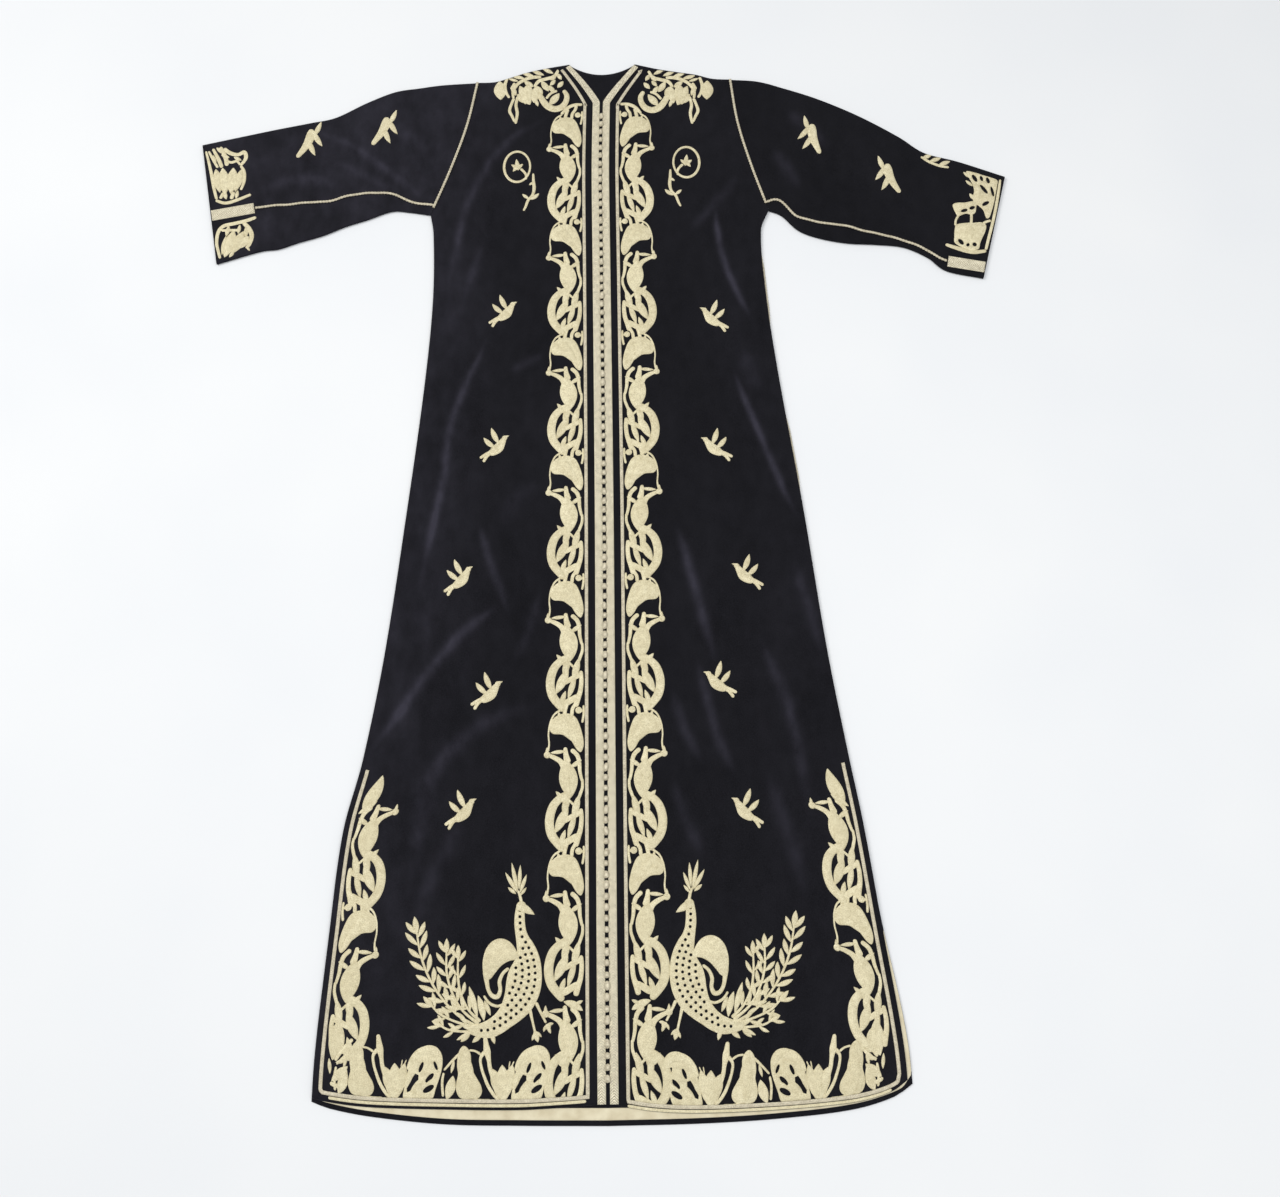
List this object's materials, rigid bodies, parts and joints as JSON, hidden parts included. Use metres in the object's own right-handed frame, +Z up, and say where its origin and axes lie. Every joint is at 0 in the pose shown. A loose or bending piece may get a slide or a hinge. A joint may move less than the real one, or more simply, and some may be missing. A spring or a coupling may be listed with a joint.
{
  "type": "velvet kaftan",
  "caption": "Long open-front velvet kaftan laid flat, with gold braid, knot buttons, corded seams and three-quarter sleeves.",
  "frame": {"origin": "under the middle of the garment's outline, on the surface it lies on", "axes": "+Y from the hem to the neck, +Z up out of the front of the garment, +X to the viewer's right"},
  "size_m": [1.187, 1.496, 0.0104],
  "materials": {
    "velvet": "matte",
    "gold_braid": "satin",
    "gold_thread": "satin",
    "cream_tape": "matte"
  },
  "bodies": {
    "root": {"back": "velvet", "front_left": "velvet", "front_right": "velvet", "sleeve_left": "velvet", "sleeve_right": "velvet", "hem_facing": "cream_tape", "closure_knots": "gold_thread", "braid_left": "gold_braid", "braid_right": "gold_braid", "edging_left": "gold_thread", "edging_right": "gold_thread", "armhole_cord_left": "gold_thread", "armhole_cord_right": "gold_thread", "sleeve_cord_left": "gold_thread", "sleeve_cord_right": "gold_thread", "cuff_braid_left": "gold_braid", "cuff_braid_right": "gold_braid", "side_cord_left": "gold_thread", "side_cord_right": "gold_thread"}
  },
  "joints": []
}
